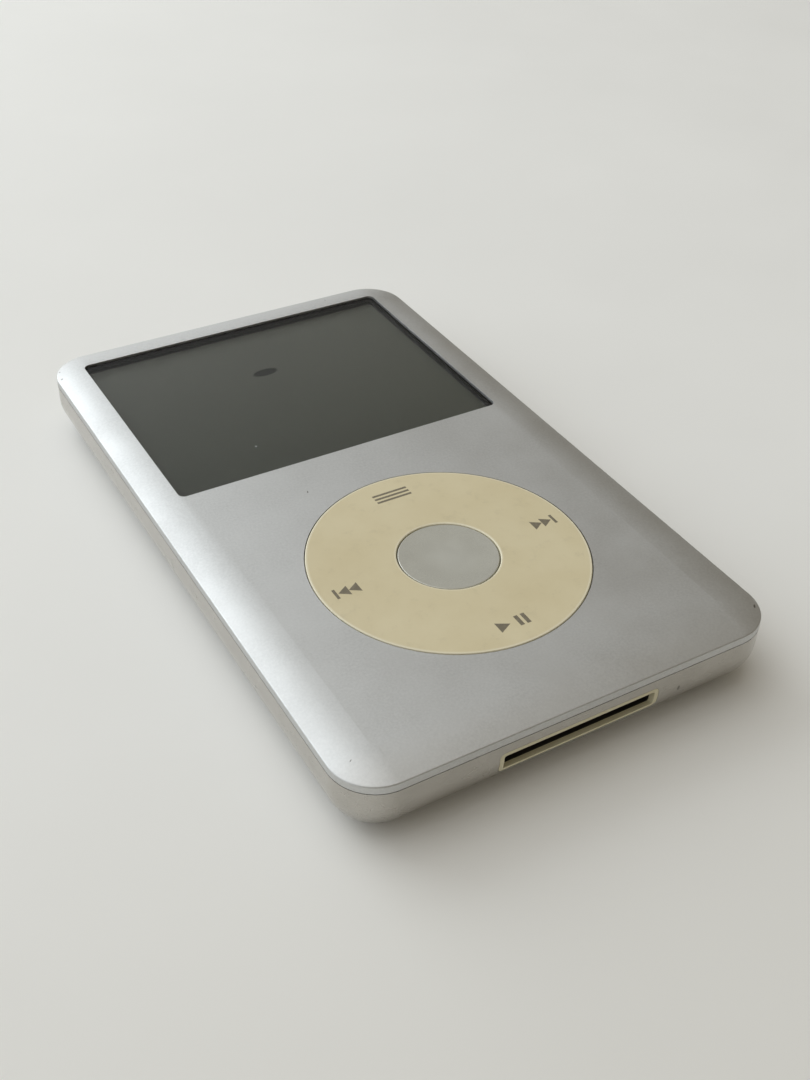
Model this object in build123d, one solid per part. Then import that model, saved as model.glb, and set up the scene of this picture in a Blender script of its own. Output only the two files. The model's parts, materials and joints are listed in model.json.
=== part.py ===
from build123d import *
import math
import os

# Portable digital audio player with a rocking touch wheel and a small hard drive.
# Millimetres.  +Z points out of the front face, +Y towards the display end, and the
# origin is the centre of the flat back.  Every piece is built where it is assembled.

# ---------------------------------------------------------------- driving dimensions
WIDTH = 61.8
HEIGHT = 103.5
THICKNESS = 10.5
CORNER_R = 6.2            # corner radius seen from the front
SHELL_WALL = 0.5          # polished steel back
BACK_EDGE_R = 6.0         # roll of the steel back into its side walls
SHELL_TOP = 8.55          # rim of the steel back
PANEL_LOW = 8.65          # bottom edge of the front panel's lip
PANEL_EDGE = 9.74         # where the lip meets the crowned front
PANEL_WALL = 0.8
CROWN_INSET = 5.5         # how far in from the lip the front becomes flat
LIP_ROUND = 0.2

WINDOW_W = 52.4
WINDOW_H = 40.1
WINDOW_Y = 27.35          # centre of the display opening
WINDOW_CORNER = 1.0
WINDOW_RECESS = 0.28      # the pane sits this far below the front face
SLIT = 0.14               # visible gap round the pane, the wheel and the button

WHEEL_Y = -21.2
WHEEL_R = 19.0
WHEEL_TOP = 10.58         # the wheel stands a little proud of the panel
BUTTON_R = 6.8
BUTTON_TOP = 10.50
DISH_R = 160.0            # the button's face is a shallow dish of this radius
TOP_ROUND = 0.15          # rounding of the wheel's and the button's top edges

DOCK_W = 23.2             # ivory surround of the dock slot
DOCK_H = 3.15
DOCK_Z = 5.57
DOCK_SLOT_W = 22.0
DOCK_SLOT_H = 2.19
DOCK_DEPTH = 0.9          # the surround reaches this far in
CONTACT_COUNT = 30
CONTACT_PITCH = 0.635

JACK_X = 21.2
JACK_Z = 5.2
JACK_BORE_R = 1.8
JACK_RIM_R = 2.75
JACK_END_Y = 37.0         # blind end of the plug bore

HOLD_X = -21.0            # centre of the hold switch's slot
HOLD_Z = 5.4
HOLD_TRAVEL = 2.4
HOLD_RIM_W = 9.4
HOLD_RIM_H = 3.6
KNOB_W = 4.6
KNOB_H = 1.9
KNOB_END_Y = 51.70

DRIVE_W = 54.0
DRIVE_Y0 = -43.2
DRIVE_Y1 = 27.8
PLATTER_R = 24.0
PLATTER_Y = 2.5
PIVOT_X = 12.0
PIVOT_Y = -29.0
ARM_LENGTH = 29.5
ARM_ANGLE = 157.1         # parked, measured from +X about the pivot

# ---------------------------------------------------------------- heights of the layers
POCKET_TOP = THICKNESS - PANEL_WALL
PAD_Z0 = SHELL_WALL
BOARD_Z0 = 6.35
BOARD_Z1 = 7.15
LCD_Z0 = 7.40
LCD_Z1 = 8.95
LCD_LIGHT_Z1 = 7.85
LCD_CELL_Z1 = 8.40
PANE_Z0 = 9.05
PANE_FLANGE_Z1 = 9.50
BASE_PLATE_Z0 = 7.62
BASE_PLATE_Z1 = 8.02
GIMBAL_Z0 = 8.30
GIMBAL_Z1 = 8.50
SENSOR_Z0 = 8.75
SENSOR_Z1 = 9.15
BAR_Z0 = 8.06
BAR_Z1 = 8.95
FRAME_Z0 = 6.2
FRAME_Z1 = 8.85
DRIVE_BOARD_Z0 = 1.1
DRIVE_BASE_Z0 = 1.6
DRIVE_FLOOR = 2.2
DRIVE_LID_Z0 = 5.7
DRIVE_Z1 = 6.1
PLATTER_Z0 = 3.9
PLATTER_Z1 = 4.4
CELL_Z0 = 1.15
CELL_Z1 = 5.9

FIT = 0.05                # radial clearance of a small running fit
HAIR = 0.02               # clearance between two flat faces that only just part
OVERCUT = 1.0             # how far a cutter runs past the face that it opens
HALF_W = WIDTH / 2
HALF_H = HEIGHT / 2

PANEL_SCREWS = [(26.2, 2.6), (-26.2, 2.6), (26.2, -44.6), (-26.2, -44.6)]


# ---------------------------------------------------------------- helpers
def block(x0, x1, y0, y1, z0, z1):
    """Box between two opposite corners, given in any order."""
    centre = Pos((x0 + x1) / 2, (y0 + y1) / 2, (z0 + z1) / 2)
    return centre * Box(abs(x1 - x0), abs(y1 - y0), abs(z1 - z0))


def block_at(x, y, width, length, z0, z1):
    """Box centred on a point in plan, between two heights."""
    return Pos(x, y, (z0 + z1) / 2) * Box(width, length, z1 - z0)


def slab(width, height, radius, z0, z1, x=0.0, y=0.0):
    """Plate with rounded corners between two heights."""
    return Pos(x, y, z0) * extrude(RectangleRounded(width, height, radius), z1 - z0)


def disc(radius, z0, z1, x=0.0, y=0.0):
    """Round plate between two heights."""
    return Pos(x, y, (z0 + z1) / 2) * Cylinder(radius, z1 - z0)


def ring(outer, inner, z0, z1, x=0.0, y=0.0):
    """Flat ring between two heights."""
    return disc(outer, z0, z1, x, y) - disc(inner, z0 - OVERCUT, z1 + OVERCUT, x, y)


def sector(inner, outer, start, span, z0, z1, x, y):
    """Part of a ring, from one angle through a span, in degrees."""
    reach = 2 * outer
    rim = [math.radians(start + span * part) for part in (0, 0.5, 1)]
    corners = [(reach * math.cos(angle), reach * math.sin(angle)) for angle in rim]
    wedge = make_face(Polyline((0, 0), *corners, close=True))
    cutter = Pos(x, y, z0) * extrude(wedge, z1 - z0)
    return ring(outer, inner, z0, z1, x, y) & cutter


def profiled_slab(width, height, corner_r, face, z0, z1):
    """Rounded rectangle in plan, with every edge shaped by one section.

    The section's own X runs outwards from the axis of the plan corner.
    """
    dx = width / 2 - corner_r
    dy = height / 2 - corner_r
    section = Plane.XZ * face
    corner = revolve(section, Axis.Z)
    side = extrude(section, dy, both=True)
    end = extrude(section, dx, both=True)
    body = block(-dx, dx, -dy, dy, z0, z1)
    body += Pos(dx, 0, 0) * side
    body += Pos(-dx, 0, 0) * Rot(0, 0, 180) * side
    body += Pos(0, dy, 0) * Rot(0, 0, 90) * end
    body += Pos(0, -dy, 0) * Rot(0, 0, -90) * end
    for sx in (-1, 1):
        for sy in (-1, 1):
            body += Pos(sx * dx, sy * dy, 0) * corner
    return body


def crowned_section(corner_r, z_low, z_edge, z_top, inset):
    """Edge section whose top falls away in one arc that starts level."""
    flat_end = (corner_r - inset, z_top)
    crown = TangentArc(flat_end, (corner_r, z_edge), tangent=(1, 0))
    outline = Polyline((corner_r, z_edge), (corner_r, z_low), (0, z_low), (0, z_top), flat_end)
    return make_face(outline + crown)


def rolled_section(corner_r, z0, z_top, edge_r):
    """Edge section whose bottom corner is a quarter circle."""
    roll_start = (corner_r - edge_r, z0)
    roll_end = (corner_r, z0 + edge_r)
    roll = RadiusArc(roll_start, roll_end, -edge_r)
    outline = Polyline(roll_end, (corner_r, z_top), (0, z_top), (0, z0), roll_start)
    return make_face(outline + roll)


def end_prism(width, height, radius, x, z, y0, y1):
    """Rounded-rectangle bar that runs along Y."""
    profile = Plane.XZ * RectangleRounded(width, height, radius)
    return Pos(x, y1, z) * extrude(profile, y1 - y0)


def end_rod(radius, x, z, y0, y1):
    """Round bar that runs along Y."""
    return Pos(x, (y0 + y1) / 2, z) * Rot(90, 0, 0) * Cylinder(radius, y1 - y0)


def sum_of(pieces):
    """All the pieces together, as one shape or as a group of separate solids."""
    pieces = list(pieces)
    total = pieces[0]
    for piece in pieces[1:]:
        total += piece
    return total


def screw(x, y, z_head, z_seat, z_tip, head_r, shank_r):
    """Screw driven upwards: a flat head with a cross slot below a plain shank."""
    body = disc(head_r, z_head, z_seat, x, y) + disc(shank_r, z_seat, z_tip, x, y)
    slot_l = head_r * 1.1
    slot_w = head_r * 0.28
    slot_z = (z_head + z_seat) / 2
    body -= block_at(x, y, slot_l, slot_w, z_head - OVERCUT, slot_z)
    body -= block_at(x, y, slot_w, slot_l, z_head - OVERCUT, slot_z)
    return body


# ---------------------------------------------------------------- casing
POST_R = 1.3              # posts under the panel that take its screws
POST_HOLE_R = 0.55
POST_WELD = 0.1           # how far the posts run into the panel
PANEL_SCREW_Z0 = 7.5
PANEL_SCREW_TIP = 9.5
PANEL_SCREW_HEAD_R = 1.0
PANEL_SCREW_R = 0.5
LIP_INNER_DROP = 0.75     # the panel's underside begins to curve this far below its edge
PORT_GAP = 0.05           # between each surround and the steel round it

FRAME_W = 60.0
FRAME_L = 101.7
FRAME_CORNER = 5.3
FRAME_WALL = 1.1
BAR_WELD = 0.1            # how far the bars run into the frame's wall
UPPER_BAR = (0.2, 5.0)    # Y from, Y to
LOWER_BAR = (-46.6, -41.6)
NOTCH_Y = 49.0            # the end notches begin this far from the middle
DOCK_NOTCH = (13.4, 7.95)   # half width, top
JACK_NOTCH = (3.4, 8.05)
HOLD_NOTCH = (5.3, 7.45)
FRAME_SCREW_R = 0.6
PLATE_SCREWS = [(-10.6, 1.4), (10.6, 1.4), (0.0, -42.5)]
PLATE_SCREW_R = 0.45
PLATE_SCREW_TIP = 8.65
PLATE_HOLE_TOP = 8.80

CLIP_X = (30.16, 30.36)
CLIP_Z = (6.6, 8.3)
CLIP_HALF_L = 38.0
CLIP_SLOT_Z = (7.2, 7.7)
CLIP_SLOT_L = 5.0
CLIP_STEP = 10.0

JACK_RIM_DEPTH = 1.53
HOLD_RIM_DEPTH = 1.45
KNOB_PLAY = 0.15          # clearance round the sliding knob


def shell_envelope():
    """Outer form of the steel back, without its hollow."""
    section = rolled_section(CORNER_R, 0, SHELL_TOP, BACK_EDGE_R)
    return profiled_slab(WIDTH, HEIGHT, CORNER_R, section, 0, SHELL_TOP)


def build_rear_case(envelope):
    """Pressed steel back with openings for the dock slot, the socket and the hold switch."""
    inner_r = CORNER_R - SHELL_WALL
    hollow_top = SHELL_TOP + OVERCUT
    section = rolled_section(inner_r, SHELL_WALL, hollow_top, BACK_EDGE_R - SHELL_WALL)
    width = WIDTH - 2 * SHELL_WALL
    height = HEIGHT - 2 * SHELL_WALL
    case = envelope - profiled_slab(width, height, inner_r, section, SHELL_WALL, hollow_top)
    deep = 2 * DOCK_H
    gap = 2 * PORT_GAP
    case -= end_prism(
        DOCK_W + gap, DOCK_H + gap, DOCK_H / 4, 0, DOCK_Z, -HALF_H - OVERCUT, -HALF_H + deep / 2
    )
    case -= end_rod(JACK_RIM_R + PORT_GAP, JACK_X, JACK_Z, HALF_H - deep / 2, HALF_H + OVERCUT)
    case -= end_prism(
        HOLD_RIM_W + gap, HOLD_RIM_H + gap, HOLD_RIM_H / 2, HOLD_X, HOLD_Z,
        HALF_H - deep / 2, HALF_H + OVERCUT,
    )
    return case


def build_front_panel():
    """Crowned aluminium panel with the display opening, the wheel hole and four posts."""
    outer = crowned_section(CORNER_R, PANEL_LOW, PANEL_EDGE, THICKNESS, CROWN_INSET)
    panel = profiled_slab(WIDTH, HEIGHT, CORNER_R, outer, PANEL_LOW, THICKNESS)
    rim = panel.edges().filter_by(lambda e: abs(e.center().Z - PANEL_EDGE) < HAIR)
    panel = fillet(rim.filter_by(lambda e: e.bounding_box().size.Z < HAIR), LIP_ROUND)
    inner_r = CORNER_R - PANEL_WALL
    pocket_low = PANEL_LOW - OVERCUT
    pocket_edge = PANEL_EDGE - LIP_INNER_DROP
    inner = crowned_section(inner_r, pocket_low, pocket_edge, POCKET_TOP, CROWN_INSET - PANEL_WALL)
    width = WIDTH - 2 * PANEL_WALL
    height = HEIGHT - 2 * PANEL_WALL
    panel -= profiled_slab(width, height, inner_r, inner, pocket_low, POCKET_TOP)
    low = POCKET_TOP - OVERCUT
    high = THICKNESS + OVERCUT
    panel -= slab(WINDOW_W, WINDOW_H, WINDOW_CORNER, low, high, 0, WINDOW_Y)
    panel -= disc(WHEEL_R + SLIT, low, high, 0, WHEEL_Y)
    for x, y in PANEL_SCREWS:
        panel += ring(POST_R, POST_HOLE_R, BAR_Z1, POCKET_TOP + POST_WELD, x, y)
    return panel


def build_mid_frame():
    """Moulded frame: a perimeter wall and two bars that carry the panel and the wheel."""
    inner_w = FRAME_W - 2 * FRAME_WALL
    inner_l = FRAME_L - 2 * FRAME_WALL
    inner_r = FRAME_CORNER - FRAME_WALL
    weld = 2 * BAR_WELD
    frame = slab(FRAME_W, FRAME_L, FRAME_CORNER, FRAME_Z0, FRAME_Z1)
    frame -= slab(inner_w, inner_l, inner_r, 0, THICKNESS)
    reach = slab(inner_w + weld, inner_l + weld, inner_r + BAR_WELD, BAR_Z0, BAR_Z1)
    for y0, y1 in (UPPER_BAR, LOWER_BAR):
        frame += block(-HALF_W, HALF_W, y0, y1, BAR_Z0, BAR_Z1) & reach
    notches = [(0, -1, DOCK_NOTCH), (JACK_X, 1, JACK_NOTCH), (HOLD_X, 1, HOLD_NOTCH)]
    for x, end, (half, top) in notches:
        frame -= block(x - half, x + half, end * NOTCH_Y, end * HALF_H, 0, top)
    for x, y in PANEL_SCREWS:
        frame -= disc(FRAME_SCREW_R, 0, THICKNESS, x, y)
    for x, y in PLATE_SCREWS:
        frame -= disc(PLATE_SCREW_R + FIT, 0, PLATE_HOLE_TOP, x, y)
    return frame


def build_clip_strips():
    """Two slotted spring strips fixed inside the long walls of the steel back."""
    strips = []
    for side in (-1, 1):
        strip = block(side * CLIP_X[0], side * CLIP_X[1], -CLIP_HALF_L, CLIP_HALF_L, *CLIP_Z)
        for step in range(-3, 4):
            strip -= block_at(side * CLIP_X[0], step * CLIP_STEP, OVERCUT, CLIP_SLOT_L, *CLIP_SLOT_Z)
        strips.append(strip)
    return sum_of(strips)


def casing_pieces():
    """Shells, frame, surrounds and the screws that hold them."""
    envelope = shell_envelope()
    past = HALF_H + OVERCUT
    slot_corner = 0.3
    dock_ring = end_prism(DOCK_W, DOCK_H, 0.7, 0, DOCK_Z, -past, -HALF_H + DOCK_DEPTH)
    dock_ring -= end_prism(DOCK_SLOT_W, DOCK_SLOT_H, slot_corner, 0, DOCK_Z, -past, -HALF_H + OVERCUT)
    jack_y0 = HALF_H - JACK_RIM_DEPTH
    jack_ring = end_rod(JACK_RIM_R, JACK_X, JACK_Z, jack_y0, past)
    jack_ring -= end_rod(JACK_BORE_R, JACK_X, JACK_Z, jack_y0 - OVERCUT, past + OVERCUT)
    hold_y0 = HALF_H - HOLD_RIM_DEPTH
    hold_ring = end_prism(HOLD_RIM_W, HOLD_RIM_H, 1.75, HOLD_X, HOLD_Z, hold_y0, past)
    slot_w = KNOB_W + HOLD_TRAVEL + 2.6 * KNOB_PLAY
    slot_h = KNOB_H + 2 * KNOB_PLAY
    hold_ring -= end_prism(slot_w, slot_h, 1.05, HOLD_X, HOLD_Z, hold_y0 - OVERCUT, past + OVERCUT)
    screws = [
        screw(x, y, PANEL_SCREW_Z0, BAR_Z0, PANEL_SCREW_TIP, PANEL_SCREW_HEAD_R, PANEL_SCREW_R)
        for x, y in PANEL_SCREWS
    ]
    return {
        "rear_case": build_rear_case(envelope),
        "front_panel": build_front_panel(),
        "mid_frame": build_mid_frame(),
        "clip_strips": build_clip_strips(),
        "panel_screws": sum_of(screws),
        "dock_bezel": dock_ring & envelope,
        "jack_bezel": jack_ring & envelope,
        "hold_bezel": hold_ring & envelope,
    }


# ---------------------------------------------------------------- display
MODULE_W = 54.2           # glass cell, backlight and gasket
MODULE_H = 41.9
MODULE_CORNER = 0.4
SIGHT_W = 51.8            # clear opening of the gasket
SIGHT_H = 39.5
SIGHT_CORNER = 0.6
FLANGE_GROWTH = 2.2       # the pane's hidden flange is this much larger than the opening
FLANGE_CORNER = 1.5
PANE_BEVEL = 0.12
TRAY_WALL = 0.3
TRAY_GAP = 0.2
TAIL_HALF_W = 8.0
TAIL_THICK = 0.3


def display_pieces():
    """Window pane, its adhesive frame, and the display module below it."""
    flange_w = WINDOW_W + FLANGE_GROWTH
    flange_h = WINDOW_H + FLANGE_GROWTH
    flange = slab(flange_w, flange_h, FLANGE_CORNER, PANE_Z0, PANE_FLANGE_Z1, 0, WINDOW_Y)
    pane_top = THICKNESS - WINDOW_RECESS
    land_w = WINDOW_W - 2 * SLIT
    land_h = WINDOW_H - 2 * SLIT
    land = slab(land_w, land_h, WINDOW_CORNER - SLIT, PANE_FLANGE_Z1, pane_top, 0, WINDOW_Y)
    land = chamfer(land.faces().sort_by(Axis.Z)[-1].edges(), PANE_BEVEL)
    gasket_top = PANE_Z0 - HAIR
    gasket = slab(MODULE_W, MODULE_H, MODULE_CORNER, LCD_CELL_Z1, gasket_top, 0, WINDOW_Y)
    gasket -= slab(SIGHT_W, SIGHT_H, SIGHT_CORNER, LCD_Z0, THICKNESS, 0, WINDOW_Y)
    well_w = MODULE_W + 2 * TRAY_GAP
    well_h = MODULE_H + 2 * TRAY_GAP
    tray_w = well_w + 2 * TRAY_WALL
    tray_h = well_h + 2 * TRAY_WALL
    tray_floor = LCD_Z0 + TRAY_GAP
    tray = slab(tray_w, tray_h, MODULE_CORNER + TRAY_WALL, LCD_Z0, LCD_Z1, 0, WINDOW_Y)
    tray -= slab(well_w, well_h, MODULE_CORNER, tray_floor, THICKNESS, 0, WINDOW_Y)
    light_z0 = tray_floor + HAIR
    backlight = slab(MODULE_W, MODULE_H, MODULE_CORNER, light_z0, LCD_LIGHT_Z1, 0, WINDOW_Y)
    cell = slab(MODULE_W, MODULE_H, MODULE_CORNER, LCD_LIGHT_Z1, LCD_CELL_Z1, 0, WINDOW_Y)
    tail_y1 = WINDOW_Y - tray_h / 2 - FIT * 9
    tail_y0 = 3.2
    tail = block(-TAIL_HALF_W, TAIL_HALF_W, tail_y1 - TAIL_THICK, tail_y1, LCD_Z0, 7.9)
    tail += block(-TAIL_HALF_W, TAIL_HALF_W, tail_y0, tail_y1, 7.2, LCD_Z0)
    return {
        "display_window": flange + land,
        "window_gasket": gasket,
        "lcd_frame": tray,
        "lcd_backlight": backlight,
        "lcd_panel": cell,
        "lcd_flex": tail,
    }


# ---------------------------------------------------------------- touch wheel and button
FLANGE_R = 20.0           # retaining flange of the wheel, below the panel
FLANGE_THICK = 0.2
BUTTON_FLANGE_R = 7.5
BUTTON_FLANGE_Z = (8.82, 9.0)
STEM_R = 2.4
STEM_Z0 = 8.46
ROCKER_R = (8.6, 19.0)    # inner and outer radius of the rocker ring
ROCKER_HOLE_R = 2.4
ROCKER_HOLE_PITCH_R = 14.0
RIDGE_REACH = (10.3, 17.3)
RIDGE_HALF_W = 0.25
REST_GAP = 0.03           # left between a rocker ridge and the face it bears on
DOME_R = 1.8
DOME_PITCH_R = 15.0
DOME_RIM = 0.05
CENTRE_DOME_R = 2.6
CENTRE_DOME_TOP = 8.44
CENTRE_PAD_R = 3.2
CENTRE_PAD_TOP = 8.14
BASE_PLATE_R = 20.8
TONGUE_R = 1.4            # the base plate's screw tongues
TONGUE_ROOT = 0.6         # share of the way from a screw to the wheel's centre
SENSOR_R = (7.9, 19.4)


def build_touch_wheel():
    """Flat annular wheel with a retaining flange below the front panel."""
    bore_r = BUTTON_R + SLIT
    wheel = ring(WHEEL_R, bore_r, SENSOR_Z1, WHEEL_TOP, 0, WHEEL_Y)
    wheel = fillet(wheel.faces().sort_by(Axis.Z)[-1].edges(), TOP_ROUND)
    flange_top = SENSOR_Z1 + FLANGE_THICK
    return wheel + ring(FLANGE_R, WHEEL_R - OVERCUT, SENSOR_Z1, flange_top, 0, WHEEL_Y)


def build_centre_button():
    """Dished button with a flange under the wheel and a stem above its switch."""
    flange_z0, flange_z1 = BUTTON_FLANGE_Z
    button = disc(BUTTON_R, flange_z1, BUTTON_TOP, 0, WHEEL_Y)
    button = fillet(button.faces().sort_by(Axis.Z)[-1].edges(), TOP_ROUND)
    depth = DISH_R - math.sqrt(DISH_R ** 2 - BUTTON_R ** 2)
    button -= Pos(0, WHEEL_Y, BUTTON_TOP - depth + DISH_R) * Sphere(DISH_R)
    button += disc(BUTTON_FLANGE_R, flange_z0, flange_z1, 0, WHEEL_Y)
    return button + disc(STEM_R, STEM_Z0, flange_z0, 0, WHEEL_Y)


def build_rocker_ring():
    """Thin ring with crossed ridges, so that the wheel rocks in two directions."""
    inner, outer = ROCKER_R
    plate = ring(outer, inner, GIMBAL_Z0, GIMBAL_Z1, 0, WHEEL_Y)
    for angle in range(45, 360, 90):
        x = ROCKER_HOLE_PITCH_R * math.cos(math.radians(angle))
        y = ROCKER_HOLE_PITCH_R * math.sin(math.radians(angle)) + WHEEL_Y
        plate -= disc(ROCKER_HOLE_R, BASE_PLATE_Z1, SENSOR_Z1, x, y)
    top = SENSOR_Z0 - REST_GAP
    bottom = BASE_PLATE_Z1 + REST_GAP
    half = RIDGE_HALF_W
    for side in (-1, 1):
        near = side * RIDGE_REACH[0]
        far = side * RIDGE_REACH[1]
        plate += block(-half, half, WHEEL_Y + near, WHEEL_Y + far, GIMBAL_Z1, top)
        plate += block(near, far, WHEEL_Y - half, WHEEL_Y + half, bottom, GIMBAL_Z0)
    return plate


def dome(radius, z0, z1, x, y):
    """Shallow snap dome: a spherical cap on a short rim."""
    rise = z1 - z0 - DOME_RIM
    sphere_r = (radius ** 2 + rise ** 2) / (2 * rise)
    cap = Pos(x, y, z1 - sphere_r) * Sphere(sphere_r)
    return disc(radius, z0, z1, x, y) & cap


def build_base_plate():
    """Round steel plate under the wheel, held by three screw tongues."""
    plate = disc(BASE_PLATE_R, BASE_PLATE_Z0, BASE_PLATE_Z1, 0, WHEEL_Y)
    for x, y in PLATE_SCREWS:
        root = y + TONGUE_ROOT * (WHEEL_Y - y)
        plate += disc(TONGUE_R, BASE_PLATE_Z0, BASE_PLATE_Z1, x, y)
        plate += block(x - TONGUE_R, x + TONGUE_R, y, root, BASE_PLATE_Z0, BASE_PLATE_Z1)
    for x, y in PLATE_SCREWS:
        plate -= disc(PLATE_SCREW_R + 2 * FIT, FRAME_Z0, FRAME_Z1, x, y)
    return plate + disc(CENTRE_PAD_R, BASE_PLATE_Z1, CENTRE_PAD_TOP, 0, WHEEL_Y)


def wheel_pieces():
    """Touch wheel, centre button, rocker ring, snap domes and the plate that carries them."""
    side_domes = []
    end_domes = []
    for side in (-1, 1):
        reach = side * DOME_PITCH_R
        side_domes.append(dome(DOME_R, GIMBAL_Z1, SENSOR_Z0 - HAIR, reach, WHEEL_Y))
        end_domes.append(dome(DOME_R, BASE_PLATE_Z1, GIMBAL_Z0 - HAIR, 0, WHEEL_Y + reach))
    head_z = BASE_PLATE_Z0 - 0.4
    screws = [
        screw(x, y, head_z, BASE_PLATE_Z0, PLATE_SCREW_TIP, 2 * PLATE_SCREW_R, PLATE_SCREW_R)
        for x, y in PLATE_SCREWS
    ]
    return {
        "touch_wheel": build_touch_wheel(),
        "wheel_sensor_board": ring(SENSOR_R[1], SENSOR_R[0], SENSOR_Z0, SENSOR_Z1, 0, WHEEL_Y),
        "centre_button": build_centre_button(),
        "wheel_rocker_ring": build_rocker_ring(),
        "wheel_base_plate": build_base_plate(),
        "wheel_plate_screws": sum_of(screws),
        "menu_play_domes": sum_of(end_domes),
        "previous_next_domes": sum_of(side_domes),
        "centre_dome": dome(CENTRE_DOME_R, CENTRE_PAD_TOP, CENTRE_DOME_TOP, 0, WHEEL_Y),
        "wheel_flex": block(-4, 4, -40.5, -4.5, 7.40, 7.52),
    }


# ---------------------------------------------------------------- boards, dock and battery
BOARD_W = 56.8
BOARD_L = 98.4
BOARD_CORNER = 3.8
# x, y, width, length and top of each chip; every chip has a twin at -x
CHIPS = [(24.3, -7.5, 7.0, 8.0, 8.0), (24.3, -36.0, 7.0, 8.0, 8.0), (17.5, 2.6, 6.0, 4.0, 7.9)]
CAPACITOR_X = 26.8
CAPACITOR_SIZE = (1.2, 1.0)
CAPACITOR_TOP = 7.7
CAPACITOR_Y0 = -30.0
CAPACITOR_STEP = 2.6
CAN_X = (14.2, 23.4)
CAN_Y = (-48.6, -42.3)
CAN_TOP = 8.0
CAN_WALL = 0.2
SOCKET_TOP = 7.6
RIBBON_SOCKET = (-25.0, -15.0, -48.6, -47.6, 5.5, BOARD_Z0)
SOUNDER = (3.2, -19.0, -45.4)   # radius, x, y
SOUNDER_TOP = 7.75

CONNECTOR_HALF_W = 12.6
CONNECTOR_HALF_H = 2.0
CONNECTOR_Y0 = -50.4
CONNECTOR_Y1 = -44.0
CONNECTOR_BACK = 1.0
NOSE_RIM = 0.3            # wall of the nose that meets the ivory surround
TONGUE_HALF_W = 9.9
TONGUE_HALF_T = 0.3
TONGUE_RISE = 0.25
CONTACT_W = 0.3
CONTACT_T = 0.1
SLEEVE_WALL = 0.15
SLEEVE_CLEAR = 0.02


def build_logic_board():
    """Main board with notches for the dock connector, the socket and the switch."""
    board = slab(BOARD_W, BOARD_L, BOARD_CORNER, BOARD_Z0, BOARD_Z1)
    half = DOCK_NOTCH[0]
    board -= block(-half, half, -HALF_H, CONNECTOR_Y1 + 1.1, 0, THICKNESS)
    half = JACK_NOTCH[0]
    board -= block(JACK_X - half, JACK_X + half, JACK_END_Y - 0.8, HALF_H, 0, THICKNESS)
    half = HOLD_NOTCH[0]
    board -= block(HOLD_X - half, HOLD_X + half, 46.0, HALF_H, 0, THICKNESS)
    for x, y in PANEL_SCREWS:
        board -= disc(POST_R, 0, THICKNESS, x, y)
    return board


def board_pieces():
    """Main board with what is soldered to it."""
    chips = []
    for x, y, width, length, top in CHIPS:
        for side in (-1, 1):
            chips.append(block_at(side * x, y, width, length, BOARD_Z1, top))
    caps = []
    for row in range(7):
        for side in (-1, 1):
            y = CAPACITOR_Y0 + row * CAPACITOR_STEP
            caps.append(block_at(side * CAPACITOR_X, y, *CAPACITOR_SIZE, BOARD_Z1, CAPACITOR_TOP))
    can = block(*CAN_X, *CAN_Y, BOARD_Z1, CAN_TOP)
    inner_x = (CAN_X[0] + CAN_WALL, CAN_X[1] - CAN_WALL)
    inner_y = (CAN_Y[0] + CAN_WALL, CAN_Y[1] - CAN_WALL)
    can -= block(*inner_x, *inner_y, BOARD_Z1 - OVERCUT, CAN_TOP - CAN_WALL)
    sockets = [
        block_at(0, 2.0, 16.8, 2.2, BOARD_Z1, SOCKET_TOP),
        block_at(0, -3.5, 8.8, 1.8, BOARD_Z1, SOCKET_TOP),
        block(*RIBBON_SOCKET),
    ]
    radius, x, y = SOUNDER
    return {
        "logic_board": build_logic_board(),
        "board_chips": sum_of(chips),
        "board_capacitors": sum_of(caps),
        "shield_can": can,
        "board_sockets": sum_of(sockets),
        "piezo_sounder": disc(radius, BOARD_Z1, SOUNDER_TOP, x, y),
    }


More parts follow.
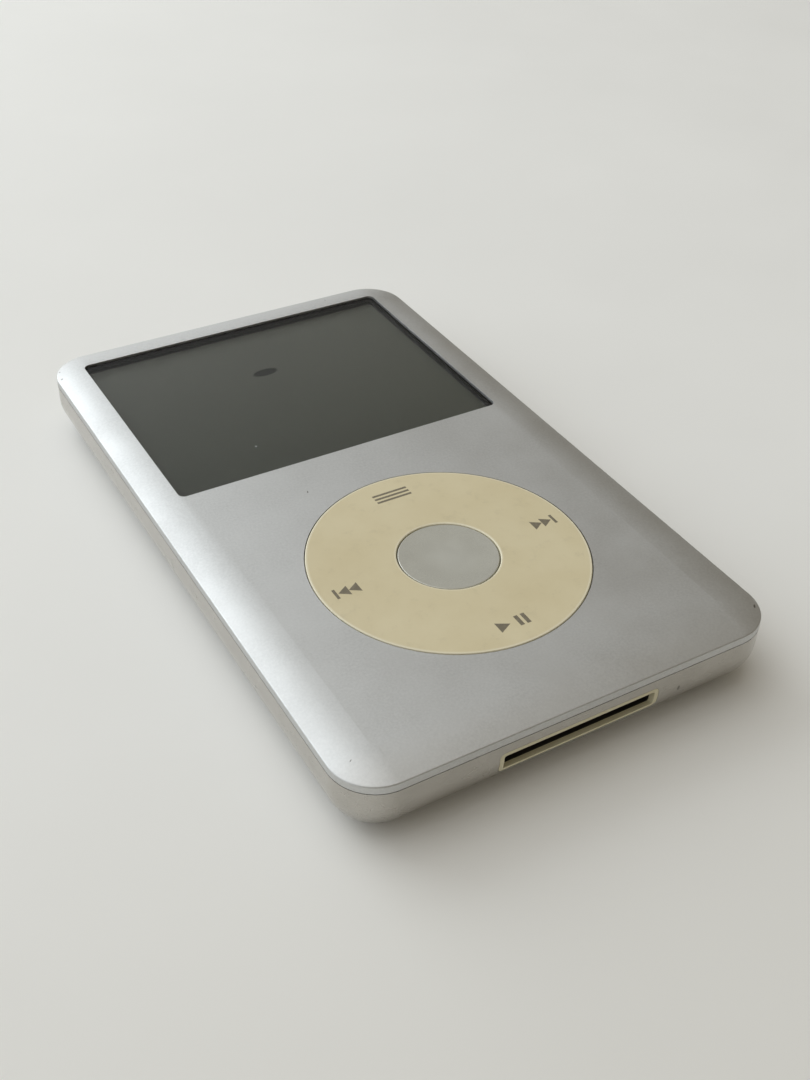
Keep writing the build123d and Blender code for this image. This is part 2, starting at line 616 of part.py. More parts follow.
def dock_pieces():
    """Dock connector behind the slot: housing, tongue contacts and steel sleeve."""
    half_w = DOCK_SLOT_W / 2
    half_h = DOCK_SLOT_H / 2
    nose_y0 = -HALF_H + DOCK_DEPTH
    nose_w = half_w + NOSE_RIM
    nose_h = half_h + NOSE_RIM
    cavity_y1 = CONNECTOR_Y1 - CONNECTOR_BACK
    low = DOCK_Z - CONNECTOR_HALF_H
    high = DOCK_Z + CONNECTOR_HALF_H
    housing = block(-CONNECTOR_HALF_W, CONNECTOR_HALF_W, CONNECTOR_Y0, CONNECTOR_Y1, low, high)
    housing += block(-nose_w, nose_w, nose_y0, CONNECTOR_Y0, DOCK_Z - nose_h, DOCK_Z + nose_h)
    housing -= block(-half_w, half_w, -HALF_H, cavity_y1, DOCK_Z - half_h, DOCK_Z + half_h)
    tongue_z0 = DOCK_Z + TONGUE_RISE - TONGUE_HALF_T
    tongue_z1 = DOCK_Z + TONGUE_RISE + TONGUE_HALF_T
    tongue_y0 = CONNECTOR_Y0 + 0.5
    contact_y0 = tongue_y0 + 0.2
    housing += block(-TONGUE_HALF_W, TONGUE_HALF_W, tongue_y0, cavity_y1, tongue_z0, tongue_z1)
    first = -(CONTACT_COUNT - 1) * CONTACT_PITCH / 2
    contact_l = cavity_y1 - contact_y0
    contact_y = (contact_y0 + cavity_y1) / 2
    contacts = []
    for index in range(CONTACT_COUNT):
        x = first + index * CONTACT_PITCH
        contacts.append(block_at(x, contact_y, CONTACT_W, contact_l, tongue_z0 - CONTACT_T, tongue_z0))
    bore_w = CONNECTOR_HALF_W + SLEEVE_CLEAR
    bore_h = CONNECTOR_HALF_H + SLEEVE_CLEAR
    skin_w = bore_w + SLEEVE_WALL
    skin_h = bore_h + SLEEVE_WALL
    sleeve = block(-skin_w, skin_w, CONNECTOR_Y0, CONNECTOR_Y1, DOCK_Z - skin_h, DOCK_Z + skin_h)
    sleeve -= block(-bore_w, bore_w, -HALF_H, 0, DOCK_Z - bore_h, DOCK_Z + bore_h)
    return {
        "dock_housing": housing,
        "dock_contacts": sum_of(contacts),
        "dock_sleeve": sleeve,
    }


def battery_pieces():
    """Pouch cell, its adhesive pad, lead and plug."""
    cell = block(-27.0, 16.4, 29.2, 45.6, CELL_Z0, CELL_Z1)
    cell = fillet(cell.edges().filter_by(Axis.Y), 1.2)
    lead_top = CELL_Z1 + 0.15
    return {
        "battery": cell,
        "battery_pad": block(-22, 12, 31, 44, PAD_Z0, CELL_Z0),
        "battery_lead": block(4, 15, 31, 35, CELL_Z1, lead_top),
        "battery_plug": block(5, 9, 31.2, 34.8, lead_top, BOARD_Z0),
    }


# ---------------------------------------------------------------- headphone socket and hold switch
SOCKET_Y = (36.6, 50.2)
SOCKET_HALF_W = 3.1
SOCKET_HALF_H = 2.15
SPRING_Y = (39.0, 42.5, 46.0)
SPRING_OFFSET = 2.6
SPRING_SIZE = (0.24, 1.0)
SPRING_HALF_H = 1.35
POCKET_SIZE = (0.5, 1.2)
SWITCH_HALF_W = 5.0
SWITCH_Y = (46.4, 50.25)
SWITCH_Z = (3.5, 7.3)
SWITCH_BAY_Y = 49.2
SWITCH_BAY_HALF_W = 4.6
SWITCH_BAY_HALF_H = 1.8
KNOB_FOOT_Y = (49.5, 50.05)
KNOB_FOOT_SIZE = (6.0, 3.2)
GRIP_STEP = 0.6
GRIP_W = 0.24
GRIP_DEPTH = 0.15
WIPER_SIZE = (2.4, 1.2)
WIPER_Y0 = 49.25
FLEX_Y = (46.8, 49.2)
FLEX_Z = (6.0, 6.15)


def end_pieces():
    """Headphone socket, hold switch and the flexible circuit between them."""
    socket = block(
        JACK_X - SOCKET_HALF_W, JACK_X + SOCKET_HALF_W, *SOCKET_Y,
        JACK_Z - SOCKET_HALF_H, JACK_Z + SOCKET_HALF_H,
    )
    socket -= end_rod(JACK_BORE_R, JACK_X, JACK_Z, JACK_END_Y, HALF_H)
    springs = []
    pocket_half_h = SPRING_HALF_H + FIT
    for y in SPRING_Y:
        for side in (-1, 1):
            x = JACK_X + side * SPRING_OFFSET
            socket -= block_at(x, y, *POCKET_SIZE, JACK_Z - pocket_half_h, JACK_Z + pocket_half_h)
            springs.append(block_at(x, y, *SPRING_SIZE, JACK_Z - SPRING_HALF_H, JACK_Z + SPRING_HALF_H))
    switch = block(HOLD_X - SWITCH_HALF_W, HOLD_X + SWITCH_HALF_W, *SWITCH_Y, *SWITCH_Z)
    switch -= block(
        HOLD_X - SWITCH_BAY_HALF_W, HOLD_X + SWITCH_BAY_HALF_W, SWITCH_BAY_Y, HALF_H,
        HOLD_Z - SWITCH_BAY_HALF_H, HOLD_Z + SWITCH_BAY_HALF_H,
    )
    parked = HOLD_X - HOLD_TRAVEL / 2
    foot_y0, foot_y1 = KNOB_FOOT_Y
    foot_w, foot_h = KNOB_FOOT_SIZE
    knob = end_prism(KNOB_W, KNOB_H, 0.9, parked, HOLD_Z, foot_y1 - FIT, KNOB_END_Y)
    for step in range(-2, 3):
        x = parked + step * GRIP_STEP
        knob -= block(x - GRIP_W / 2, x + GRIP_W / 2, KNOB_END_Y - GRIP_DEPTH, HALF_H, 0, THICKNESS)
    knob += end_prism(foot_w, foot_h, FIT, parked, HOLD_Z, foot_y0, foot_y1)
    wiper_w, wiper_h = WIPER_SIZE
    return {
        "headphone_socket": socket,
        "socket_springs": sum_of(springs),
        "hold_switch_body": switch,
        "hold_slider": knob,
        "hold_wiper": end_prism(wiper_w, wiper_h, FIT, parked, HOLD_Z, WIPER_Y0, foot_y0),
        "audio_flex": block(HOLD_X + SWITCH_HALF_W, JACK_X - SOCKET_HALF_W, *FLEX_Y, *FLEX_Z),
    }


# ---------------------------------------------------------------- hard drive
DRIVE_WALL = 1.0
LID_SCREW_INSET = 2.4
LID_SCREW_BOSS_R = 1.5
LID_SCREW_HEAD_R = 0.9
LID_SCREW_R = 0.5
LABEL_R = 7.0             # round recess in the lid, over the hub
LABEL_DEPTH = 0.12
HUB_R = 6.0
HUB_Z0 = 2.95
SPIGOT_R = 3.0            # the platter sits round this
SPINDLE_R = 1.0
SPINDLE_TOP = 3.6
HUB_BORE_TOP = 3.75
MOTOR_R = (2.2, 5.6)
MOTOR_TOP = 2.8
CLAMP_R = 5.4
CLAMP_TOP = 4.9
PIVOT_R = 1.5
PIVOT_TOP = 5.6
BARREL_R = 3.2
BARREL_Z = (3.2, 5.1)
ARM_Z = (4.6, 4.9)
ARM_HALF_ROOT = 3.0
ARM_HALF_MIDDLE = 1.5
ARM_HALF_TIP = 0.5
HEAD_REACH = 0.6
HEAD_Z0 = 4.44
COIL_START = 160.0        # from the arm's own axis
COIL_SPAN = 40.0
COIL_R = (5.2, 11.3)
COIL_HOLE_R = (6.8, 9.8)
COIL_HOLE_INSET = 6.0
COIL_Z = (4.2, 4.9)
MAGNET_R = (4.6, 12.2)
MAGNET_START = -75.0
MAGNET_SPAN = 75.0
MAGNET_LOW_TOP = 3.9
MAGNET_HIGH_Z = (5.15, 5.65)
RAMP = (-17.2, -14.2, -20.6, -18.6, DRIVE_FLOOR, 4.35)
BUMPER_T = 1.6
BUMPER_L = 16.0
BUMPER_INSET = 5.0
BUMPER_Z = (2.7, 5.9)
RIBBON_X = (-24.0, -16.0)
RIBBON_DROP_Y = (-44.5, -44.3)
RIBBON_END_Y = -47.6
RIBBON_T = 0.17
RIBBON_TOP = 6.32
RIBBON_TAB_Z = (3.8, 4.0)
CIRCUIT_TOP = 1.5


def build_actuator_arm():
    """Arm from the pivot barrel to the head, with a tail that holds the coil."""
    tip = ARM_LENGTH + HEAD_REACH
    middle = tip * 0.53
    upper = [(0, ARM_HALF_ROOT), (middle, ARM_HALF_MIDDLE), (tip, ARM_HALF_TIP)]
    lower = [(x, -y) for x, y in reversed(upper)]
    outline = make_face(Polyline(*upper, *lower, close=True))
    solid = Pos(0, 0, ARM_Z[0]) * extrude(outline, ARM_Z[1] - ARM_Z[0])
    solid += disc(BARREL_R, *BARREL_Z)
    solid += sector(BARREL_R - HEAD_REACH, COIL_R[0], COIL_START, COIL_SPAN, *COIL_Z, 0, 0)
    solid -= disc(PIVOT_R + FIT, 0, THICKNESS)
    return Pos(PIVOT_X, PIVOT_Y, 0) * Rot(0, 0, ARM_ANGLE) * solid


def build_coil():
    """Flat voice coil with an open middle, about the pivot's own axis."""
    coil = sector(*COIL_R, COIL_START, COIL_SPAN, *COIL_Z, 0, 0)
    hole_start = COIL_START + COIL_HOLE_INSET
    hole_span = COIL_SPAN - 2 * COIL_HOLE_INSET
    return coil - sector(*COIL_HOLE_R, hole_start, hole_span, DRIVE_FLOOR, DRIVE_LID_Z0, 0, 0)


def build_drive_ribbon():
    """Flat ribbon that leaves the drive's end, climbs and runs to its socket on the board."""
    drop_y0, drop_y1 = RIBBON_DROP_Y
    ribbon = block(*RIBBON_X, drop_y0, drop_y1, RIBBON_TAB_Z[0], RIBBON_TOP)
    ribbon += block(*RIBBON_X, RIBBON_END_Y, drop_y1, RIBBON_TOP - RIBBON_T, RIBBON_TOP)
    return ribbon + block(*RIBBON_X, drop_y1, DRIVE_Y0, *RIBBON_TAB_Z)


def drive_box_pieces():
    """The drive's cast base, its lid and the screws in its corners."""
    half = DRIVE_W / 2
    inner = half - DRIVE_WALL
    base = block(-half, half, DRIVE_Y0, DRIVE_Y1, DRIVE_BASE_Z0, DRIVE_LID_Z0)
    base -= block(-inner, inner, DRIVE_Y0 + DRIVE_WALL, DRIVE_Y1 - DRIVE_WALL, DRIVE_FLOOR, DRIVE_Z1)
    cover = block(-half, half, DRIVE_Y0, DRIVE_Y1, DRIVE_LID_Z0, DRIVE_Z1)
    cover -= disc(LABEL_R, DRIVE_Z1 - LABEL_DEPTH, DRIVE_Z1 + OVERCUT, 0, PLATTER_Y)
    inset = LID_SCREW_INSET
    spots = [(side * (half - inset), y) for side in (-1, 1) for y in (DRIVE_Y0 + inset, DRIVE_Y1 - inset)]
    screws = []
    for x, y in spots:
        base += disc(LID_SCREW_BOSS_R, DRIVE_BASE_Z0, DRIVE_LID_Z0, x, y)
        base -= disc(LID_SCREW_R + FIT, DRIVE_FLOOR, DRIVE_Z1, x, y)
        cover -= disc(LID_SCREW_HEAD_R + FIT, DRIVE_FLOOR, THICKNESS, x, y)
        head = disc(LID_SCREW_HEAD_R, DRIVE_LID_Z0, DRIVE_Z1, x, y)
        screws.append(head + disc(LID_SCREW_R, DRIVE_LID_Z0 - 2, DRIVE_LID_Z0, x, y))
    return {"drive_base": base, "drive_cover": cover, "drive_screws": sum_of(screws)}


def drive_pieces():
    """Small hard drive, its rubber bumpers, pad and ribbon."""
    half = DRIVE_W / 2
    hub = disc(HUB_R, HUB_Z0, PLATTER_Z0, 0, PLATTER_Y)
    hub += disc(SPIGOT_R, PLATTER_Z0, PLATTER_Z1, 0, PLATTER_Y)
    hub -= disc(SPINDLE_R + FIT, DRIVE_FLOOR, HUB_BORE_TOP, 0, PLATTER_Y)
    motor = ring(MOTOR_R[1], MOTOR_R[0], DRIVE_FLOOR, MOTOR_TOP, 0, PLATTER_Y)
    motor += disc(SPINDLE_R, DRIVE_FLOOR, SPINDLE_TOP, 0, PLATTER_Y)
    motor += disc(MOTOR_R[0] + 0.2, DRIVE_FLOOR, 2.5, 0, PLATTER_Y)
    parked = Pos(PIVOT_X, PIVOT_Y, 0) * Rot(0, 0, ARM_ANGLE)
    head = block_at(ARM_LENGTH, 0, 2 * HEAD_REACH, 2 * ARM_HALF_TIP, HEAD_Z0, ARM_Z[0])
    magnet_arc = (MAGNET_START, MAGNET_SPAN)
    magnets = [
        sector(*MAGNET_R, *magnet_arc, DRIVE_FLOOR, MAGNET_LOW_TOP, PIVOT_X, PIVOT_Y),
        sector(*MAGNET_R, *magnet_arc, *MAGNET_HIGH_Z, PIVOT_X, PIVOT_Y),
    ]
    bumpers = []
    for side in (-1, 1):
        for y in (DRIVE_Y0 + BUMPER_INSET, DRIVE_Y1 - BUMPER_INSET - BUMPER_L):
            outside = side * (half + BUMPER_T)
            bumpers.append(block(side * half, outside, y, y + BUMPER_L, *BUMPER_Z))
    circuit = block(-half + 1.6, half - 1.6, DRIVE_Y0 + 0.4, -23, DRIVE_BOARD_Z0, CIRCUIT_TOP)
    return drive_box_pieces() | {
        "drive_circuit_board": circuit,
        "drive_motor": motor,
        "drive_pivot_post": disc(PIVOT_R, DRIVE_FLOOR, PIVOT_TOP, PIVOT_X, PIVOT_Y),
        "drive_magnets": sum_of(magnets),
        "drive_park_ramp": block(*RAMP),
        "drive_hub": hub,
        "drive_platter": ring(PLATTER_R, SPIGOT_R + HAIR, PLATTER_Z0, PLATTER_Z1, 0, PLATTER_Y),
        "drive_clamp": disc(CLAMP_R, PLATTER_Z1, CLAMP_TOP, 0, PLATTER_Y),
        "drive_arm": build_actuator_arm(),
        "drive_coil": parked * build_coil(),
        "drive_head": parked * head,
        "drive_bumpers": sum_of(bumpers),
        "drive_pad": block(-20, 20, -20, 22, PAD_Z0, DRIVE_BASE_Z0),
        "drive_ribbon": build_drive_ribbon(),
    }


# ---------------------------------------------------------------- one STEP file per piece
def main():
    os.makedirs("parts", exist_ok=True)
    nodes = {}
    for build in (
        casing_pieces, display_pieces, wheel_pieces, board_pieces, dock_pieces,
        battery_pieces, end_pieces, drive_pieces,
    ):
        nodes.update(build())
    for name, shape in nodes.items():
        export_step(shape, os.path.join("parts", name + ".step"))
    print(len(nodes), "nodes")


main()
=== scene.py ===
import json
import math

import bmesh
import bpy
from mathutils import Matrix, Vector


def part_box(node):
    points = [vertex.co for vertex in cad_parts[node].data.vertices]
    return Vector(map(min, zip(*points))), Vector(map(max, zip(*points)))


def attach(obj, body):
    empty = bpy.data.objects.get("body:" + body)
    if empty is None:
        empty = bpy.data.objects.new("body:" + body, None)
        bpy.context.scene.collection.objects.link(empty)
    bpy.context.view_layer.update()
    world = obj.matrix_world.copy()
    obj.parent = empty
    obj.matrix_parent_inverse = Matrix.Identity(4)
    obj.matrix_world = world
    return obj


# Looks of a pocket audio player that lies on its back on a pale table.
# Everything is in metres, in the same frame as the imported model; MM turns millimetres into metres.

MM = 0.001

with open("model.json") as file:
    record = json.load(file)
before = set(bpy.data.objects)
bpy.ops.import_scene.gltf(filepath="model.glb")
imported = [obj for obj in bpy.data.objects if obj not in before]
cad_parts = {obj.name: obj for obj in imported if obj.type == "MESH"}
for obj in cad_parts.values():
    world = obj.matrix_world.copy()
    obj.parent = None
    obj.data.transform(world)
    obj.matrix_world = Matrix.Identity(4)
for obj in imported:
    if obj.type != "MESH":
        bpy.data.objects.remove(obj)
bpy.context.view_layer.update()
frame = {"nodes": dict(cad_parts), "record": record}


# ---------------------------------------------------------------- places read from the frame
def middle(node):
    """Centre of a CAD node's box."""
    low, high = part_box(node)
    return (low + high) / 2


WHEEL_CENTRE = middle("touch_wheel")
WHEEL_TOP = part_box("touch_wheel")[1].z
PANEL_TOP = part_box("front_panel")[1].z
CELL_LOW, CELL_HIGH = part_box("lcd_panel")


# ---------------------------------------------------------------- procedural materials
class Look:
    """One node material: a Principled shader and the textures that feed it."""

    def __init__(self, name, **sockets):
        self.material = bpy.data.materials.new(name)
        self.material.use_nodes = True
        self.tree = self.material.node_tree
        self.shader = self.tree.nodes["Principled BSDF"]
        self.coords = self.node("ShaderNodeTexCoord").outputs["Object"]
        for key, value in sockets.items():
            self.set(key.replace("_", " "), value)

    def node(self, kind, **settings):
        """A new node with its properties set."""
        made = self.tree.nodes.new(kind)
        for key, value in settings.items():
            setattr(made, key, value)
        return made

    def set(self, name, value):
        """Gives a shader socket a value, or links a texture to it."""
        socket = self.shader.inputs[name]
        if isinstance(value, bpy.types.NodeSocket):
            self.tree.links.new(value, socket)
        elif isinstance(value, tuple) and len(value) == 3 and len(socket.default_value) == 4:
            socket.default_value = (*value, 1.0)
        else:
            socket.default_value = value

    def place(self, stretch=(1, 1, 1), turn=0.0, shift=(0, 0, 0)):
        """Object coordinates in millimetres, shifted, turned about Z, then stretched."""
        moved = self.node("ShaderNodeMapping", vector_type="TEXTURE")
        moved.inputs["Location"].default_value = [value * MM for value in shift]
        moved.inputs["Rotation"].default_value = (0, 0, math.radians(turn))
        moved.inputs["Scale"].default_value = [value * MM for value in stretch]
        self.tree.links.new(self.coords, moved.inputs["Vector"])
        return moved.outputs["Vector"]

    def axis(self, vector, name):
        """One component, X, Y or Z, of a vector."""
        split = self.node("ShaderNodeSeparateXYZ")
        self.tree.links.new(vector, split.inputs[0])
        return split.outputs[name]

    def length(self, vector):
        """Length of a vector."""
        measured = self.node("ShaderNodeVectorMath", operation="LENGTH")
        self.tree.links.new(vector, measured.inputs[0])
        return measured.outputs["Value"]

    def noise(self, size, detail=2.0, rough=0.5, stretch=(1, 1, 1), turn=0.0):
        """Cloudy texture whose blobs are about size millimetres across."""
        texture = self.node("ShaderNodeTexNoise")
        texture.inputs["Scale"].default_value = 1.0 / size
        texture.inputs["Detail"].default_value = detail
        texture.inputs["Roughness"].default_value = rough
        self.tree.links.new(self.place(stretch, turn), texture.inputs["Vector"])
        return texture.outputs["Fac"]

    def math(self, operation, a, b=0.0):
        """One arithmetic step on textures or numbers."""
        step = self.node("ShaderNodeMath", operation=operation)
        for value, socket in zip((a, b), step.inputs):
            if isinstance(value, bpy.types.NodeSocket):
                self.tree.links.new(value, socket)
            else:
                socket.default_value = value
        return step.outputs[0]

    def span(self, value, low, high, to_low=0.0, to_high=1.0, smooth=False):
        """Maps a texture's range onto another, clamped."""
        mapped = self.node("ShaderNodeMapRange", clamp=True)
        if smooth:
            mapped.interpolation_type = "SMOOTHSTEP"
        self.tree.links.new(value, mapped.inputs["Value"])
        for name, number in (("From Min", low), ("From Max", high), ("To Min", to_low), ("To Max", to_high)):
            mapped.inputs[name].default_value = number
        return mapped.outputs["Result"]

    def mix(self, factor, first, second):
        """Colour that goes from first to second with the factor."""
        mixed = self.node("ShaderNodeMix", data_type="RGBA")
        self.tree.links.new(factor, mixed.inputs["Factor"])
        for value, socket in ((first, mixed.inputs["A"]), (second, mixed.inputs["B"])):
            if isinstance(value, bpy.types.NodeSocket):
                self.tree.links.new(value, socket)
            else:
                socket.default_value = (*value, 1.0)
        return mixed.outputs["Result"]

    def bump(self, height, depth, strength=1.0):
        """Adds relief, depth millimetres high, on top of any relief already there."""
        relief = self.node("ShaderNodeBump")
        relief.inputs["Distance"].default_value = depth * MM
        relief.inputs["Strength"].default_value = strength
        self.tree.links.new(height, relief.inputs["Height"])
        before = self.shader.inputs["Normal"]
        if before.is_linked:
            self.tree.links.new(before.links[0].from_socket, relief.inputs["Normal"])
        self.tree.links.new(relief.outputs["Normal"], before)

    def scratches(self, turn, size=1.6, length=28.0, width=0.012):
        """Thin broken lines along one direction: 1 on a scratch, 0 elsewhere."""
        lines = self.noise(size, 0.0, 0.5, stretch=(length, 1, 1), turn=turn)
        off = self.math("ABSOLUTE", self.math("SUBTRACT", lines, 0.5))
        thin = self.span(off, 0.0, width, 1.0, 0.0)
        broken = self.span(self.noise(size * 4, 1.0, turn=turn + 40), 0.52, 0.6)
        return self.math("MULTIPLY", thin, broken)

    def spot(self, x, y, z, length, width, turn=0.0, soft=0.35):
        """Mask of one small oval mark: 1 inside, 0 outside."""
        size = (length / 2, width / 2, max(length, width))
        radius = self.length(self.place(size, turn, (x, y, z)))
        return self.span(radius, 1.0 - soft, 1.0, 1.0, 0.0, smooth=True)

    def most(self, masks):
        """The strongest of several masks."""
        total = masks[0]
        for mask in masks[1:]:
            total = self.math("MAXIMUM", total, mask)
        return total


def anodised_look():
    """Bead-blasted silver anodised aluminium with faint handling marks and a few nicks."""
    look = Look("anodised_panel", Metallic=1.0)
    cloud = look.noise(7.0, 3.0)
    grain = look.noise(0.10, 2.0, 0.7)
    speckle = look.noise(0.34, 2.0, 0.6)
    tone = look.mix(look.span(cloud, 0.35, 0.65), (0.57, 0.575, 0.57), (0.605, 0.61, 0.605))
    tone = look.mix(look.span(speckle, 0.3, 0.7), tone, (0.64, 0.645, 0.64))
    top = PANEL_TOP / MM
    nicks = look.most([
        look.spot(-10.0, 0.3, top, 0.65, 0.2, 70),
        look.spot(-30.2, 46.0, top - 0.6, 0.5, 0.35, 20),
        look.spot(-29.8, 48.3, top - 0.6, 0.35, 0.3, 0),
        look.spot(-28.4, -46.6, top - 0.4, 0.5, 0.15, 35),
        look.spot(29.6, -48.0, top - 0.6, 0.9, 0.3, 50),
        look.spot(18.5, 49.9, top - 0.3, 0.35, 0.2, 10),
    ])
    look.set("Base Color", look.mix(nicks, tone, (0.22, 0.21, 0.20)))
    handled = look.span(look.noise(11.0, 4.0, 0.6), 0.35, 0.7, 0.46, 0.54)
    look.set("Roughness", look.math("ADD", handled, look.span(grain, 0.3, 0.7, -0.03, 0.03)))
    look.bump(grain, 0.006, 0.4)
    look.bump(speckle, 0.010, 0.3)
    look.bump(nicks, 0.06, -0.6)
    return look.material


HAIRLINE_TURNS = (8, 34, 71, 103, 148)    # directions in degrees of the scratches on the steel


def polished_steel_look():
    """Mirror-polished pressed steel, dulled by crossing hairline scratches, with one small dent."""
    look = Look("polished_steel", Metallic=1.0)
    hairs = look.most([look.scratches(turn) for turn in HAIRLINE_TURNS])
    haze = look.noise(5.0, 4.0, 0.6)
    tone = look.mix(look.span(haze, 0.3, 0.7), (0.485, 0.465, 0.43), (0.54, 0.52, 0.485))
    dent = look.spot(14.9, -51.7, 5.5, 0.5, 0.5)
    look.set("Base Color", look.mix(dent, tone, (0.25, 0.24, 0.22)))
    dull = look.span(haze, 0.3, 0.75, 0.13, 0.22)
    look.set("Roughness", look.math("ADD", dull, look.math("MULTIPLY", hairs, 0.25)))
    look.bump(hairs, 0.004, -0.5)
    look.bump(look.noise(9.0, 1.0), 0.02, 0.4)
    look.bump(dent, 0.1, -0.8)
    return look.material


OUTER_HIGHLIGHT_RADII = (18.6, 18.85)   # radii in mm over which the painted highlight along the wheel's outer edge sets in
INNER_HIGHLIGHT_RADII = (7.05, 7.3)     # radii in mm over which the painted highlight along its inner edge fades out
# how strongly the painted rim highlights lighten the wheel
RIM_HIGHLIGHT_STRENGTH = 0.75
FLAT = (1, 1, 1000)         # stretch that leaves the height out of a distance


def cream_wheel_look():
    """Moulded cream plastic, aged unevenly, with painted highlights along its outer and inner edges and a
    fine matt skin.
    """
    look = Look("wheel_cream", IOR=1.49)
    age = look.span(look.noise(9.0, 4.0, 0.6), 0.3, 0.7)
    tone = look.mix(age, (0.735, 0.651, 0.436), (0.683, 0.593, 0.378))
    grime = look.span(look.noise(2.2, 5.0, 0.7), 0.56, 0.75, 0.0, 0.22)
    tone = look.mix(grime, tone, (0.420, 0.367, 0.252))
    centre = WHEEL_CENTRE / MM
    radius = look.length(look.place(FLAT, 0, centre))
    outer_rim_highlight = look.span(radius, *OUTER_HIGHLIGHT_RADII)
    inner_rim_highlight = look.span(radius, *INNER_HIGHLIGHT_RADII, 1.0, 0.0)
    rim_highlights = look.math("MULTIPLY", look.math("MAXIMUM", outer_rim_highlight, inner_rim_highlight), RIM_HIGHLIGHT_STRENGTH)
    # painted highlight: the wheel's outer and inner edges are lightened towards pale cream, as if their
    # rounded edges catch the light
    look.set("Base Color", look.mix(rim_highlights, tone, (0.861, 0.809, 0.630)))
    look.set("Roughness", look.span(look.noise(5.0, 3.0), 0.3, 0.7, 0.42, 0.52))
    look.bump(look.noise(0.12, 2.0, 0.6), 0.003, 0.3)
    return look.material


def silver_button_look():
    """Silver-painted plastic with fine flake and a worn middle."""
    look = Look("button_silver", Metallic=0.55)
    flake = look.noise(0.10, 1.0, 0.7)
    tone = look.mix(look.span(flake, 0.3, 0.7), (0.50, 0.495, 0.44), (0.60, 0.59, 0.53))
    centre = WHEEL_CENTRE / MM
    worn = look.spot(centre.x, centre.y, WHEEL_TOP / MM, 9.5, 9.5, soft=0.9)
    look.set("Base Color", look.mix(worn, tone, (0.58, 0.575, 0.52)))
    look.set("Roughness", look.span(look.noise(2.5, 3.0), 0.3, 0.7, 0.40, 0.50))
    look.bump(flake, 0.002, 0.3)
    return look.material


def clear_pane_look():
    """Clear polished pane with faint smears; its upright edges are blacked out."""
    look = Look("clear_pane", IOR=1.25, Specular_IOR_Level=0.25)
    facing = look.node("ShaderNodeTexCoord").outputs["Normal"]
    clear = look.span(look.math("ABSOLUTE", look.axis(facing, "Z")), 0.2, 0.4)
    look.set("Transmission Weight", clear)
    look.set("Base Color", look.mix(clear, (0.01, 0.01, 0.01), (0.97, 0.98, 0.97)))
    smear = look.noise(26.0, 1.0, 0.5, stretch=(1, 2.5, 1), turn=25)
    polish = look.span(smear, 0.2, 0.8, 0.004, 0.016)
    look.set("Roughness", look.math("ADD", polish, look.span(clear, 0.0, 1.0, 0.95, 0.0)))
    look.bump(look.noise(30.0, 0.0), 0.0004, 0.1)
    return look.material


def display_cell_look():
    """Unlit display cell: grey-green with painted light that makes it paler towards +Y and +X, very finely
    ruled, with one dark bruise and a dust speck.
    """
    look = Look("display_cell", IOR=1.5, Specular_IOR_Level=0.12)
    top = CELL_HIGH.z / MM
    # painted light: rise and side make the cell paler towards +Y and towards +X, as light falls across the
    # window; drift adds random tone
    rise = look.span(look.axis(look.coords, "Y"), CELL_LOW.y, CELL_HIGH.y)
    side = look.span(look.axis(look.coords, "X"), CELL_LOW.x, CELL_HIGH.x, -0.15, 0.22)
    drift = look.span(look.noise(22.0, 2.0), 0.3, 0.7, -0.05, 0.05)
    pale = look.math("ADD", look.math("ADD", rise, side), drift)
    # the paler of the two tones is the painted lit end of the cell
    tone = look.mix(pale, (0.060, 0.063, 0.050), (0.108, 0.112, 0.094))
    bruise = look.spot(-0.3, 34.7, top, 4.9, 2.3, 3, soft=0.3)
    tone = look.mix(bruise, tone, (0.002, 0.002, 0.002))
    dust = look.spot(-10.6, 16.2, top, 0.42, 0.36)
    look.set("Base Color", look.mix(dust, tone, (0.42, 0.43, 0.42)))
    look.set("Roughness", look.span(look.noise(12.0, 1.0), 0.2, 0.8, 0.30, 0.33))
    ruled = look.node("ShaderNodeTexWave", wave_type="BANDS", bands_direction="X")
    ruled.inputs["Scale"].default_value = 2.0
    look.tree.links.new(look.place(), ruled.inputs["Vector"])
    look.bump(ruled.outputs["Fac"], 0.0005, 0.03)
    return look.material


def moulded_look(name, light, dark, rough, skin=0.12, gloss=1.5):
    """Moulded plastic or rubber: two close tones, a fine skin and uneven sheen."""
    look = Look(name, IOR=gloss)
    look.set("Base Color", look.mix(look.span(look.noise(4.0, 4.0, 0.6), 0.3, 0.7), light, dark))
    look.set("Roughness", look.span(look.noise(2.0, 3.0), 0.3, 0.7, rough - 0.05, rough + 0.06))
    look.bump(look.noise(skin, 2.0, 0.6), 0.004, 0.3)
    return look.material


def rolled_metal_look(name, light, dark, rough, turn=0.0, grain=0.25):
    """Sheet or turned metal with a directional grain and a little tarnish."""
    look = Look(name, Metallic=1.0)
    tarnish = look.span(look.noise(5.0, 4.0, 0.6), 0.3, 0.7)
    look.set("Base Color", look.mix(tarnish, light, dark))
    lines = look.noise(grain, 3.0, 0.6, stretch=(20, 1, 1), turn=turn)
    look.set("Roughness", look.span(lines, 0.25, 0.75, rough - 0.06, rough + 0.08))
    look.bump(lines, 0.003, 0.3)
    return look.material


def circuit_board_look():
    """Green solder mask with slightly raised copper tracks."""
    look = Look("board_laminate", IOR=1.5)
    bricks = look.node("ShaderNodeTexBrick", offset=0.37)
    bricks.inputs["Scale"].default_value = 0.35
    bricks.inputs["Mortar Size"].default_value = 0.04
    look.tree.links.new(look.place(), bricks.inputs["Vector"])
    tracks = bricks.outputs["Fac"]
    look.set("Base Color", look.mix(tracks, (0.012, 0.10, 0.05), (0.03, 0.20, 0.10)))
    look.set("Roughness", look.span(look.noise(1.5, 3.0), 0.3, 0.7, 0.28, 0.38))
    look.bump(tracks, 0.02, 0.4)
    return look.material


